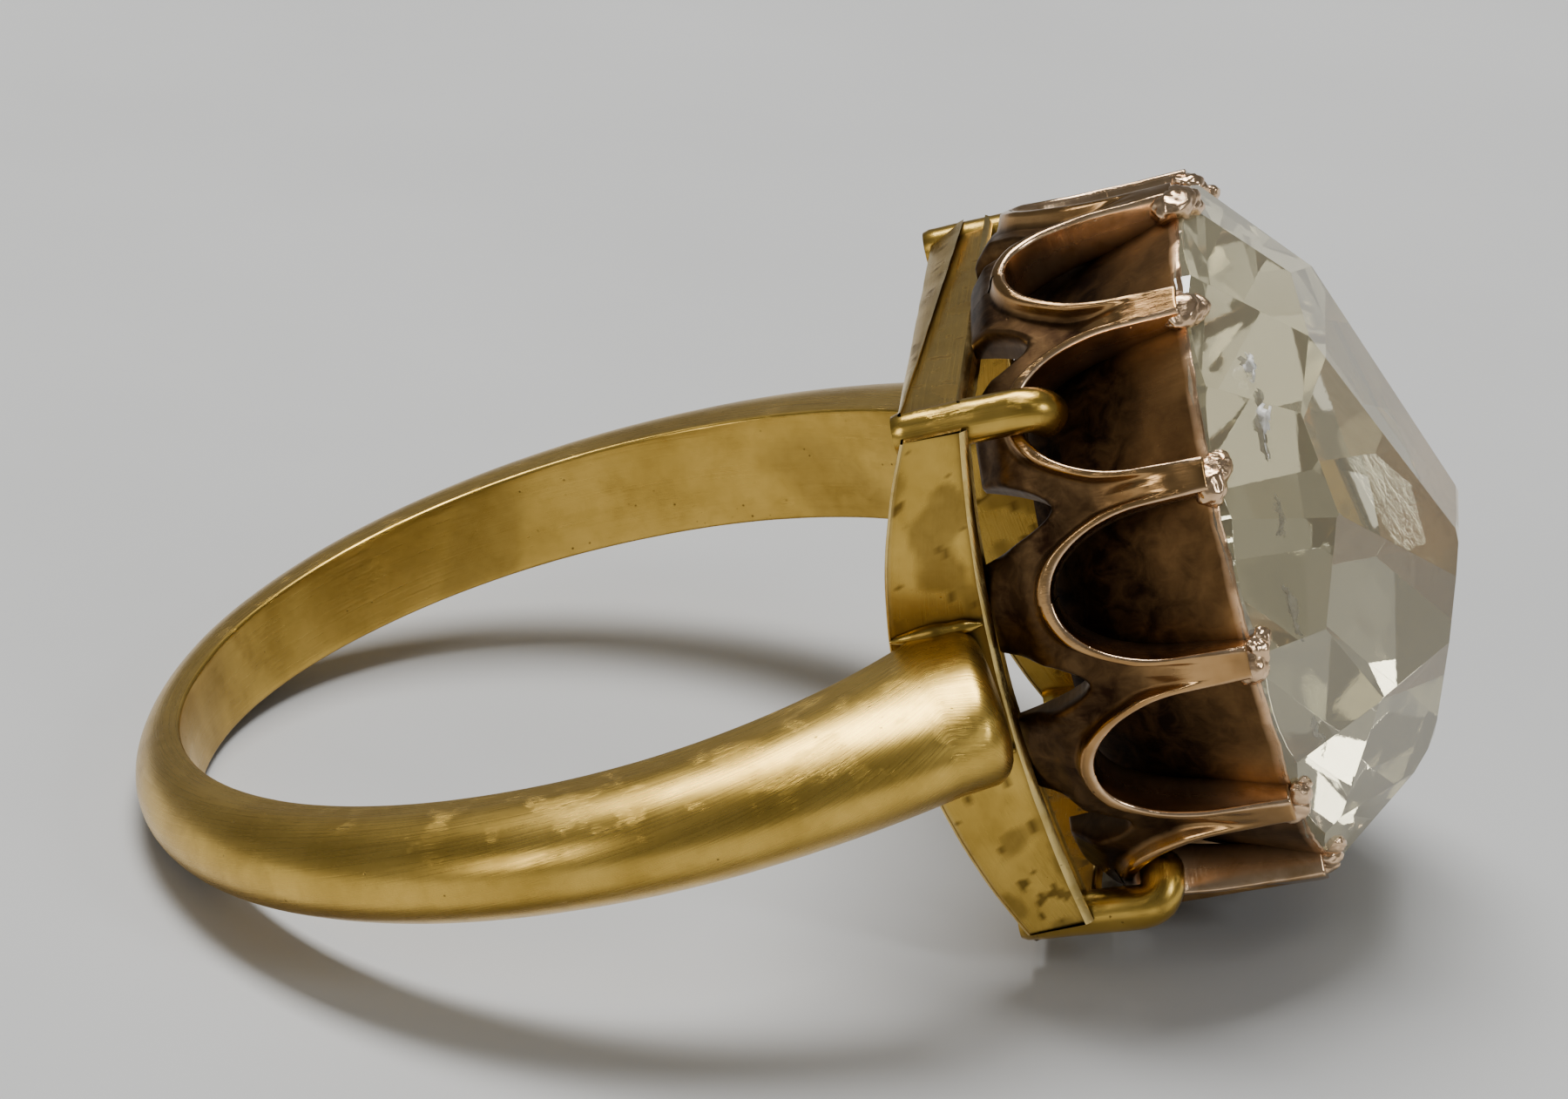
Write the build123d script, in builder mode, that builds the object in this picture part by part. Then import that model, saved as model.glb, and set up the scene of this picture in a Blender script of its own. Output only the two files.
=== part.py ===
from build123d import *

import os
from math import atan, cos, degrees, radians, sin, tan

# Antique solitaire ring: a tapered D-section shank, a square gallery frame of four bars with a
# hooked post at each corner, a twelve-claw coronet with an inner bearing collet, and one stone.
# Origin: centre of the finger hole. +Z is the finger hole's axis, +X points at the stone.
# Millimetres.

# ---- finger hole and shank ----
FINGER_RADIUS = 8.5
SHANK_OVERLAP = 1.2  # how far each section starts inside the finger hole, before that is cut
SIDE_WALL_SHARE = 0.3  # share of the thickness that is flat rim before the half-round begins
# half width and thickness at the back of the shank and at the last section that faces the centre
BACK_HALF_WIDTH = 0.77
BACK_THICKNESS = 0.95
FLANK_ANGLE = 100
FLANK_HALF_WIDTH = 1.10
FLANK_THICKNESS = 2.30
THICKNESS_GROWTH = 1.3  # above 1, the shank thickens slowly at first and then faster
SECTIONS_PER_SIDE = 4
# the last two sections on each side lean away from the radius, towards the gallery
SHOULDER_X = 5.0
SHOULDER_LEAN = 15
SHOULDER_HALF_WIDTH = 1.22
SHOULDER_THICKNESS = 2.60
ARM_END_X = 7.6
ARM_END_LEAN = 12
ARM_END_HALF_WIDTH = 1.32
ARM_END_THICKNESS = 2.70
ARM_END_ROUNDING = 0.35

# ---- gallery frame ----
POST_SPREAD = 5.0  # each post's distance from the head axis, along Y and along Z
POST_RADIUS = 0.42
POST_BASE_X = 6.95
FRAME_BASE_X = 7.1
FRAME_TOP_X = 8.35
SIDE_BAR_OUTER_Y = 5.6
SIDE_BAR_THICKNESS = 0.7
SIDE_BAR_DROP = 1.2  # how far the side bars' lower edge dips under the shoulders
SIDE_BAR_TOP_DIP = 0.45  # how far their upper edge dips
END_BAR_OUTER_Z = 5.4
END_BAR_THICKNESS = 0.6

# ---- coronet ----
CLAWS = 12
CORONET_FOOT_X = 7.8
CORONET_FOOT_RADIUS = 5.95
CORONET_WAIST_X = 8.75
CORONET_WAIST_RADIUS = 6.58
CORONET_RIM_X = 12.75
CORONET_RIM_RADIUS = 6.84
CORONET_BLANK_TOP_X = 14.0
CORONET_WALL_FOOT = 0.85
CORONET_INNER_RIM_RADIUS = 6.25
CORONET_INNER_RIM_X = 12.45
CLAW_OVERHANG = 0.4  # how far the claw tips reach in over the girdle
TIP_HEIGHT = 0.28  # the claw tips' height above the girdle, along the stone's axis
TIP_ROUNDING = 0.4
ARCADE_FLOOR_X = 9.2
ARCADE_HALF_WIDTH = 1.42
ARCADE_BOW = 2.1  # length of the half-ellipse that closes each arcade at its foot
FOOT_GAP_TOP_X = 9.5
FOOT_GAP_HALF_WIDTH = 0.82
FOOT_GAP_SHOULDER_X = 8.95  # where each gap has narrowed to the share below
FOOT_GAP_SHOULDER_SHARE = 0.62
CUT_MARGIN = 0.01

# ---- stone and its seat ----
STONE_X = 12.66  # girdle centre
STONE_LEAN = 1.0  # the old stone sits this far out of square, in degrees
STONE_FIT = 0.02
GIRDLE_RADIUS = 6.45
GIRDLE_HALF_HEIGHT = 0.06
MAIN_FACETS = 8
# hand cut: facet angles and heights swing by these amounts from one side of the stone to the other
BREAK_ANGLE = 48
BREAK_ANGLE_SWING = 4
MAIN_ANGLE = 33.2
MAIN_ANGLE_SWING = 11.4
MAIN_EDGE_HEIGHT = 0.52
MAIN_EDGE_SWING = 0.30
TABLE_HEIGHT = 3.78
TABLE_SLOPE = 18
STAR_DEPTH = 0.08  # how much each star facet takes off the corner of the table
PAVILION_DEPTH = 3.8
CULET_SLOPE = 0.001  # next to nothing: the culet is square to the stone's axis
PAVILION_ANGLE = 31.5
PAVILION_EDGE_HEIGHT = -0.18
LOWER_HALF_ANGLE = 34
BLANK_HEIGHT = 4.6

# the claw tips' outer corners, in the stone's frame
TIP_RADIUS = CORONET_RIM_RADIUS + 0.02
TIP_SHOULDER_HEIGHT = TIP_HEIGHT - TIP_ROUNDING

# ---- bearing collet ----
COLLET_FOOT_X = 9.5
COLLET_FOOT_RADIUS = 5.2
COLLET_RIM_X = 12.64
COLLET_RIM_RADIUS = 6.16
COLLET_WALL = 0.5

# ---- post hooks ----
HOOK_BEND_RADIUS = 0.62
HOOK_CLEARANCE = 0.03
HOOK_TIP_RADIUS = 6.45  # how far from the head axis each hook's round tip is centred


def stone_plane():
    """The stone's own frame: origin at the girdle's centre, z along its axis, y near +Z."""
    lean = radians(STONE_LEAN)
    return Plane(origin=(STONE_X, 0, 0), x_dir=(0, 1, 0), z_dir=(cos(lean), 0, -sin(lean)))


def radial_plane(angle):
    """A plane through the origin, x along the head axis, facing outwards at this angle about it."""
    turn = radians(angle)
    return Plane(origin=(0, 0, 0), x_dir=(1, 0, 0), z_dir=(0, -cos(turn), sin(turn)))


def axial_plane(angle):
    """A plane holding the head axis (x) and the outward direction at this angle (y)."""
    turn = radians(angle)
    return Plane(origin=(0, 0, 0), x_dir=(1, 0, 0), z_dir=(0, -sin(turn), -cos(turn)))


# ---------------------------------------------------------------- shank
def section_plane(x, y, outward_x, outward_y):
    """A plane across the shank at (x, y): its x axis points outwards, its y axis along -Z or +Z."""
    along = Vector(outward_x, outward_y, 0).cross(Vector(0, 0, 1))
    return Plane(origin=(x, y, 0), x_dir=(outward_x, outward_y, 0), z_dir=along)


def shank_sections():
    """(plane, half width, thickness) from one arm's end round the back to the other's."""
    side = []
    for step in range(1, SECTIONS_PER_SIDE + 1):
        share = step / SECTIONS_PER_SIDE
        turn = radians(FLANK_ANGLE * share)
        half_width = BACK_HALF_WIDTH + (FLANK_HALF_WIDTH - BACK_HALF_WIDTH) * share
        thickness = BACK_THICKNESS + (FLANK_THICKNESS - BACK_THICKNESS) * share**THICKNESS_GROWTH
        side.append((-cos(turn), sin(turn), -cos(turn), sin(turn), half_width, thickness))
    places = [
        (FINGER_RADIUS * x, FINGER_RADIUS * y, dx, dy, half_width, thickness)
        for x, y, dx, dy, half_width, thickness in side
    ]
    shoulder_y = (FINGER_RADIUS**2 - SHOULDER_X**2) ** 0.5
    for x, y, lean, half_width, thickness in (
        (SHOULDER_X, shoulder_y, SHOULDER_LEAN, SHOULDER_HALF_WIDTH, SHOULDER_THICKNESS),
        (ARM_END_X, SIDE_BAR_OUTER_Y, ARM_END_LEAN, ARM_END_HALF_WIDTH, ARM_END_THICKNESS),
    ):
        outward = (sin(radians(lean)), cos(radians(lean)))
        places.append((x, y, *outward, half_width, thickness))
    back = (-FINGER_RADIUS, 0, -1, 0, BACK_HALF_WIDTH, BACK_THICKNESS)
    front = [(x, -y, dx, -dy, w, t) for x, y, dx, dy, w, t in reversed(places)]
    return [(section_plane(x, y, dx, dy), w, t) for x, y, dx, dy, w, t in [*front, back, *places]]


with BuildPart() as shank:
    for plane, half_width, thickness in shank_sections():
        wall = thickness * SIDE_WALL_SHARE
        with BuildSketch(plane):
            with BuildLine():
                Line((-SHANK_OVERLAP, -half_width), (wall, -half_width))
                EllipticalCenterArc(
                    (wall, 0), thickness - wall, half_width, start_angle=-90, arc_size=180
                )
                Line((wall, half_width), (-SHANK_OVERLAP, half_width))
                Line((-SHANK_OVERLAP, half_width), (-SHANK_OVERLAP, -half_width))
            make_face()
    loft()
    # the finger hole, and the flats that the arms' ends are soldered by
    Cylinder(FINGER_RADIUS, 4 * ARM_END_HALF_WIDTH, mode=Mode.SUBTRACT)
    with Locations((FINGER_RADIUS, 0, 0)):
        Box(
            FINGER_RADIUS,
            2 * SIDE_BAR_OUTER_Y,
            4 * ARM_END_HALF_WIDTH,
            mode=Mode.SUBTRACT,
        )
    fillet(shank.edges().group_by(Axis.X)[-1], ARM_END_ROUNDING)
shank.part.label = "shank"


# ---------------------------------------------------------------- gallery frame
def cope_for_posts():
    """Hollow the bar's ends to fit round the corner posts."""
    across_head = Plane(origin=(FRAME_BASE_X, 0, 0), x_dir=(0, 1, 0), z_dir=(1, 0, 0))
    with Locations(across_head):
        with GridLocations(2 * POST_SPREAD, 2 * POST_SPREAD, 2, 2):
            Cylinder(POST_RADIUS, 4 * (FRAME_TOP_X - FRAME_BASE_X), mode=Mode.SUBTRACT)


def frame_top_arc():
    """The line that the frame's top follows between two posts, seen from the side."""
    ThreePointArc(
        (FRAME_TOP_X, -POST_SPREAD),
        (FRAME_TOP_X - SIDE_BAR_TOP_DIP, 0),
        (FRAME_TOP_X, POST_SPREAD),
    )


def side_bar(label, side):
    """One bar under a shoulder (side is -1 or 1 along Y), dipping towards the finger."""
    span = POST_SPREAD
    with BuildPart() as bar:
        with BuildSketch(Plane.XZ.offset(-side * SIDE_BAR_OUTER_Y)):
            with BuildLine():
                Line((FRAME_BASE_X, -span), (FRAME_TOP_X, -span))
                frame_top_arc()
                Line((FRAME_TOP_X, span), (FRAME_BASE_X, span))
                ThreePointArc(
                    (FRAME_BASE_X, span), (FRAME_BASE_X - SIDE_BAR_DROP, 0), (FRAME_BASE_X, -span)
                )
            make_face()
        extrude(amount=side * SIDE_BAR_THICKNESS)
        cope_for_posts()
    bar.part.label = label
    return bar.part


def end_bar(label, side):
    """One straight bar across the head (side is -1 or 1 along Z)."""
    middle_x = (FRAME_BASE_X + FRAME_TOP_X) / 2
    middle_z = side * (END_BAR_OUTER_Z - END_BAR_THICKNESS / 2)
    with BuildPart() as bar:
        with Locations((middle_x, 0, middle_z)):
            Box(FRAME_TOP_X - FRAME_BASE_X, 2 * POST_SPREAD, END_BAR_THICKNESS)
        cope_for_posts()
    bar.part.label = label
    return bar.part


bars = [
    side_bar("side_bar_front", -1),
    side_bar("side_bar_back", 1),
    end_bar("end_bar_upper", 1),
    end_bar("end_bar_lower", -1),
]


# ---------------------------------------------------------------- stone
def facet(azimuth, angle, edge_radius, edge_height, clearance):
    """Cut one flat facet: it faces this azimuth about the stone's axis, slopes up at this angle
    from the girdle plane, and passes edge_radius out and edge_height up. A facet under the
    girdle has a negative angle."""
    turn, slope = radians(azimuth), radians(abs(angle))
    up = 1 if angle > 0 else -1
    normal = Vector(sin(slope) * cos(turn), sin(slope) * sin(turn), up * cos(slope))
    point = Vector(edge_radius * cos(turn), edge_radius * sin(turn), edge_height)
    local = Plane(origin=point + normal * clearance, z_dir=normal)
    frame = stone_plane()
    split(
        bisect_by=Plane(
            origin=frame.from_local_coords(local.origin),
            z_dir=frame.from_local_coords(local.origin + normal)
            - frame.from_local_coords(local.origin),
        ),
        keep=Keep.BOTTOM,
    )


def main_angle(azimuth):
    """How steep the crown's main facet is on this side of the stone."""
    return MAIN_ANGLE - MAIN_ANGLE_SWING * sin(radians(azimuth))


def main_edge(azimuth):
    """How high that facet meets the girdle."""
    return MAIN_EDGE_HEIGHT + MAIN_EDGE_SWING * sin(radians(azimuth))


def star_facet(azimuth):
    """(angle, radius, height) of the star that takes off the table's corner on this side."""
    fall = tan(radians(main_angle(azimuth)))
    rise = tan(radians(TABLE_SLOPE)) * sin(radians(azimuth))
    # the corner is where the ridge between two mains runs into the table
    ridge = fall * cos(radians(180 / MAIN_FACETS)) + rise
    radius = (main_edge(azimuth) + GIRDLE_RADIUS * fall - TABLE_HEIGHT) / ridge
    angle = (main_angle(azimuth) - degrees(atan(rise))) / 2
    return angle, radius, TABLE_HEIGHT + radius * rise - STAR_DEPTH


def cut_stone(label, clearance):
    """The whole cut stone, every face moved out by the clearance."""
    step = 360 / MAIN_FACETS
    with BuildPart() as cut:
        with BuildSketch(stone_plane().offset(-BLANK_HEIGHT)):
            Circle(GIRDLE_RADIUS + clearance)
        extrude(amount=2 * BLANK_HEIGHT)
        # crown: break facets at the girdle, mains, stars, and the sloping table
        for number in range(2 * MAIN_FACETS):
            azimuth = (number + 0.5) * step / 2
            swing = BREAK_ANGLE_SWING * sin(radians(azimuth))
            facet(azimuth, BREAK_ANGLE - swing, GIRDLE_RADIUS, GIRDLE_HALF_HEIGHT, clearance)
        for number in range(MAIN_FACETS):
            azimuth = number * step
            facet(azimuth, main_angle(azimuth), GIRDLE_RADIUS, main_edge(azimuth), clearance)
        for number in range(MAIN_FACETS):
            azimuth = (number + 0.5) * step
            facet(azimuth, *star_facet(azimuth), clearance)
        facet(-90, TABLE_SLOPE, 0, TABLE_HEIGHT, clearance)
        # pavilion: eight mains, sixteen lower halves, and an open culet
        for number in range(MAIN_FACETS):
            facet(number * step, -PAVILION_ANGLE, GIRDLE_RADIUS, PAVILION_EDGE_HEIGHT, clearance)
        for number in range(2 * MAIN_FACETS):
            azimuth = (number + 0.5) * step / 2
            facet(azimuth, -LOWER_HALF_ANGLE, GIRDLE_RADIUS, -GIRDLE_HALF_HEIGHT, clearance)
        facet(0, -CULET_SLOPE, 0, -PAVILION_DEPTH, clearance)
    cut.part.label = label
    return cut.part


stone = cut_stone("stone", 0)
seat_cutter = cut_stone("seat_cutter", STONE_FIT)


# ---------------------------------------------------------------- coronet
with BuildPart() as coronet:
    with BuildSketch(Plane.XY):
        Polygon(
            (CORONET_FOOT_X, CORONET_FOOT_RADIUS),
            (CORONET_WAIST_X, CORONET_WAIST_RADIUS),
            (CORONET_RIM_X, CORONET_RIM_RADIUS),
            (CORONET_BLANK_TOP_X, CORONET_RIM_RADIUS),
            (CORONET_BLANK_TOP_X, CORONET_INNER_RIM_RADIUS - CLAW_OVERHANG),
            (CORONET_INNER_RIM_X + CLAW_OVERHANG, CORONET_INNER_RIM_RADIUS - CLAW_OVERHANG),
            (CORONET_INNER_RIM_X, CORONET_INNER_RIM_RADIUS),
            (CORONET_FOOT_X, CORONET_FOOT_RADIUS - CORONET_WALL_FOOT),
            align=None,
        )
    revolve(axis=Axis.X)
    # arcades cut down from the rim between the claws
    for number in range(CLAWS):
        with BuildSketch(radial_plane((number + 0.5) * 360 / CLAWS)):
            with BuildLine():
                bow_end = ARCADE_FLOOR_X + ARCADE_BOW
                EllipticalCenterArc(
                    (bow_end, 0), ARCADE_BOW, ARCADE_HALF_WIDTH, start_angle=90, arc_size=180
                )
                Line((bow_end, -ARCADE_HALF_WIDTH), (CORONET_BLANK_TOP_X, -ARCADE_HALF_WIDTH))
                Line(
                    (CORONET_BLANK_TOP_X, -ARCADE_HALF_WIDTH),
                    (CORONET_BLANK_TOP_X, ARCADE_HALF_WIDTH),
                )
                Line((CORONET_BLANK_TOP_X, ARCADE_HALF_WIDTH), (bow_end, ARCADE_HALF_WIDTH))
            make_face()
        extrude(amount=CORONET_RIM_RADIUS + 1, mode=Mode.SUBTRACT)
    # pointed gaps cut up from below, one under each claw
    for number in range(CLAWS):
        with BuildSketch(radial_plane(number * 360 / CLAWS)):
            with BuildLine():
                ThreePointArc(
                    (CORONET_FOOT_X - CUT_MARGIN, -FOOT_GAP_HALF_WIDTH),
                    (FOOT_GAP_SHOULDER_X, -FOOT_GAP_SHOULDER_SHARE * FOOT_GAP_HALF_WIDTH),
                    (FOOT_GAP_TOP_X, 0),
                )
                ThreePointArc(
                    (FOOT_GAP_TOP_X, 0),
                    (FOOT_GAP_SHOULDER_X, FOOT_GAP_SHOULDER_SHARE * FOOT_GAP_HALF_WIDTH),
                    (CORONET_FOOT_X - CUT_MARGIN, FOOT_GAP_HALF_WIDTH),
                )
                Line(
                    (CORONET_FOOT_X - CUT_MARGIN, FOOT_GAP_HALF_WIDTH),
                    (CORONET_FOOT_X - CUT_MARGIN, -FOOT_GAP_HALF_WIDTH),
                )
            make_face()
        extrude(amount=CORONET_RIM_RADIUS + 1, mode=Mode.SUBTRACT)
    # feet filed to the frame's top, which dips along the side bars
    with BuildSketch(Plane.XZ):
        with BuildLine():
            Polyline(
                (FRAME_TOP_X, POST_SPREAD),
                (FRAME_TOP_X, CORONET_RIM_RADIUS + 1),
                (CORONET_FOOT_X - 1, CORONET_RIM_RADIUS + 1),
                (CORONET_FOOT_X - 1, -CORONET_RIM_RADIUS - 1),
                (FRAME_TOP_X, -CORONET_RIM_RADIUS - 1),
                (FRAME_TOP_X, -POST_SPREAD),
            )
            frame_top_arc()
        make_face()
    extrude(amount=CORONET_RIM_RADIUS + 1, both=True, mode=Mode.SUBTRACT)
    # claw tips rounded over the girdle, square to the stone, then the stone's seat
    with BuildSketch(Plane(stone_plane().origin, x_dir=stone_plane().z_dir, z_dir=(0, 1, 0))):
        with BuildLine():
            Polyline(
                (TIP_SHOULDER_HEIGHT, TIP_RADIUS),
                (TIP_SHOULDER_HEIGHT, TIP_RADIUS + 1),
                (-CORONET_BLANK_TOP_X / 2, TIP_RADIUS + 1),
                (-CORONET_BLANK_TOP_X / 2, 0),
                (TIP_HEIGHT, 0),
                (TIP_HEIGHT, TIP_RADIUS - TIP_ROUNDING),
            )
            RadiusArc(
                (TIP_HEIGHT, TIP_RADIUS - TIP_ROUNDING),
                (TIP_SHOULDER_HEIGHT, TIP_RADIUS),
                -TIP_ROUNDING,
            )
        make_face()
    revolve(axis=Axis(stone_plane().origin, stone_plane().z_dir), mode=Mode.INTERSECT)
    add(seat_cutter, mode=Mode.SUBTRACT)
coronet.part.label = "coronet"


# ---------------------------------------------------------------- bearing collet
with BuildPart() as bearing_collet:
    with BuildSketch(Plane.XY):
        Polygon(
            (COLLET_FOOT_X, COLLET_FOOT_RADIUS),
            (COLLET_RIM_X, COLLET_RIM_RADIUS),
            (COLLET_RIM_X, COLLET_RIM_RADIUS - COLLET_WALL),
            (COLLET_FOOT_X, COLLET_FOOT_RADIUS - COLLET_WALL),
            align=None,
        )
    revolve(axis=Axis.X)
    add(seat_cutter, mode=Mode.SUBTRACT)
bearing_collet.part.label = "bearing_collet"


# ---------------------------------------------------------------- corner posts
def corner_post(label, angle):
    """A round wire up a corner of the frame, hooked in over the floor of the arcade there."""
    reach = POST_SPREAD * 2**0.5
    hook_x = ARCADE_FLOOR_X + HOOK_CLEARANCE + POST_RADIUS
    bend_start = (hook_x - HOOK_BEND_RADIUS, reach)
    with BuildPart() as post:
        with BuildLine(axial_plane(angle)) as path:
            Line((POST_BASE_X, reach), bend_start)
            RadiusArc(bend_start, (hook_x, reach - HOOK_BEND_RADIUS), HOOK_BEND_RADIUS)
            Line((hook_x, reach - HOOK_BEND_RADIUS), (hook_x, HOOK_TIP_RADIUS))
        with BuildSketch(Plane(origin=path.line @ 0, z_dir=(1, 0, 0))):
            Circle(POST_RADIUS)
        sweep(path=path.line)
        with Locations(path.line @ 1):
            Sphere(POST_RADIUS)
    post.part.label = label
    return post.part


posts = [
    corner_post("post_front_upper", 45),
    corner_post("post_front_lower", -45),
    corner_post("post_back_upper", 135),
    corner_post("post_back_lower", -135),
]


# ---------------------------------------------------------------- files
os.makedirs("parts", exist_ok=True)
for piece in (shank.part, *bars, *posts, coronet.part, bearing_collet.part, stone):
    export_step(piece, f"parts/{piece.label}.step")
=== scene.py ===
import math

import bmesh
import bpy
from mathutils import Matrix, Vector, noise


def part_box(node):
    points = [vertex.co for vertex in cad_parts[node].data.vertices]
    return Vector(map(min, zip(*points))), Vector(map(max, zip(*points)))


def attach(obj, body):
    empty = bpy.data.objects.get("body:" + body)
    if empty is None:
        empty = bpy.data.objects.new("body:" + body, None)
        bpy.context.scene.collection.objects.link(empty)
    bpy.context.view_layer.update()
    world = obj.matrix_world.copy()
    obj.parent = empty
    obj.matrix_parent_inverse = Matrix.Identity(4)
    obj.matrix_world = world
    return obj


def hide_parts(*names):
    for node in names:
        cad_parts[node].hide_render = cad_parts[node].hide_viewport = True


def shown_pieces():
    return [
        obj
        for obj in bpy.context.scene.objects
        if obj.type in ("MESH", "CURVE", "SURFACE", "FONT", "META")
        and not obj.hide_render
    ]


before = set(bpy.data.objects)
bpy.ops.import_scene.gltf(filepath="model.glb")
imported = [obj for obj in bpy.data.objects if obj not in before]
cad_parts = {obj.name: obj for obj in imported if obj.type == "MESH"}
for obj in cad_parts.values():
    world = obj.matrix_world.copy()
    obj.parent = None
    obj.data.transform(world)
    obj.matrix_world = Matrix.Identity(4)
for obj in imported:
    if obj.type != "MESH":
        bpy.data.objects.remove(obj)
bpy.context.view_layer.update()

MM = 0.001


def box_mm(node):
    """A CAD node's lowest and highest corners, in millimetres."""
    low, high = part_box(node)
    return low / MM, high / MM


def smooth_step(low, high, value):
    share = min(max((value - low) / (high - low), 0.0), 1.0)
    return share * share * (3 - 2 * share)


def wobble(point, scale, seed=0.0):
    """Smooth noise between about -1 and 1 at a point in millimetres."""
    return noise.noise(Vector(point) * scale + Vector((seed, seed * 1.7, -seed)))


# -------- mesh building
def make_object(name, points, faces, shades=None, flow=None):
    """A mesh from points in millimetres. shades gives each point (polish, darkening towards the patina
    colour, and a share of the paler edge colour for wear from rubbing and a painted highlight), and flow
    gives it (along, across) in millimetres for marks that follow the piece."""
    mesh = bpy.data.meshes.new(name)
    mesh.from_pydata([Vector(p) * MM for p in points], [], faces)
    mesh.validate()
    if shades:
        layer = mesh.color_attributes.new("shade", "FLOAT_COLOR", "POINT")
        for item, shade in zip(layer.data, shades):
            item.color = (*shade, 1.0)
    if flow:
        layer = mesh.attributes.new("flow", "FLOAT_VECTOR", "POINT")
        for item, value in zip(layer.data, flow):
            item.vector = (*value, 0.0)
    for polygon in mesh.polygons:
        polygon.use_smooth = True
    obj = bpy.data.objects.new(name, mesh)
    bpy.context.scene.collection.objects.link(obj)
    return obj


def outward(obj):
    """Makes the faces of a closed mesh look outwards, which fails where the mesh folds over itself."""
    work = bmesh.new()
    work.from_mesh(obj.data)
    bmesh.ops.recalc_face_normals(work, faces=work.faces)
    work.to_mesh(obj.data)
    work.free()


def sweep(name, rings, shades=None, flow=None, closed=False):
    """A tube through rings of points, capped at both ends unless it closes on itself."""
    count = len(rings[0])
    points = [p for ring in rings for p in ring]
    faces = []
    steps = len(rings) if closed else len(rings) - 1
    for i in range(steps):
        for j in range(count):
            a, b = i * count, (i + 1) % len(rings) * count
            k = (j + 1) % count
            faces.append((a + j, a + k, b + k, b + j))
    if not closed:
        faces.append(tuple(range(count))[::-1])
        faces.append(tuple(range((len(rings) - 1) * count, len(rings) * count)))
    obj = make_object(name, points, faces, shades, flow)
    outward(obj)
    obj.data.set_sharp_from_angle(angle=math.radians(50))
    return obj


def finish_piece(obj, material, slot, *nodes):
    obj.data.materials.append(material)
    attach(obj, "root")
    if nodes:
        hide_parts(*nodes)


# -------- materials
def node_tree(name):
    material = bpy.data.materials.new(name)
    material.use_nodes = True
    material.node_tree.nodes.clear()
    return material, material.node_tree


def add_node(tree, kind, **values):
    """A shader node; values name its properties, or its inputs by name."""
    node = tree.nodes.new(kind)
    for key, value in values.items():
        if key in node.inputs:
            node.inputs[key].default_value = value
        else:
            setattr(node, key, value)
    return node


def link(tree, out, into):
    tree.links.new(out, into)


def math_node(tree, operation, first, second=None, clamp=False):
    node = tree.nodes.new("ShaderNodeMath")
    node.operation = operation
    node.use_clamp = clamp
    for socket, value in zip(node.inputs, (first, second)):
        if value is None:
            continue
        if isinstance(value, (int, float)):
            socket.default_value = value
        else:
            link(tree, value, socket)
    return node.outputs[0]


def mix_colour(tree, factor, first, second, blend="MIX"):
    node = tree.nodes.new("ShaderNodeMix")
    node.data_type = "RGBA"
    node.blend_type = blend
    sockets = (node.inputs[0], node.inputs[6], node.inputs[7])
    for socket, value in zip(sockets, (factor, first, second)):
        if isinstance(value, (int, float)):
            socket.default_value = value
        elif isinstance(value, tuple):
            socket.default_value = (*value, 1.0)
        else:
            link(tree, value, socket)
    return node.outputs[2]


def ramp(tree, value, low, high, start=0.0, end=1.0):
    node = tree.nodes.new("ShaderNodeMapRange")
    link(tree, value, node.inputs[0])
    for socket, number in zip(node.inputs[1:5], (low, high, start, end)):
        socket.default_value = number
    return node.outputs[0]


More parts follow.
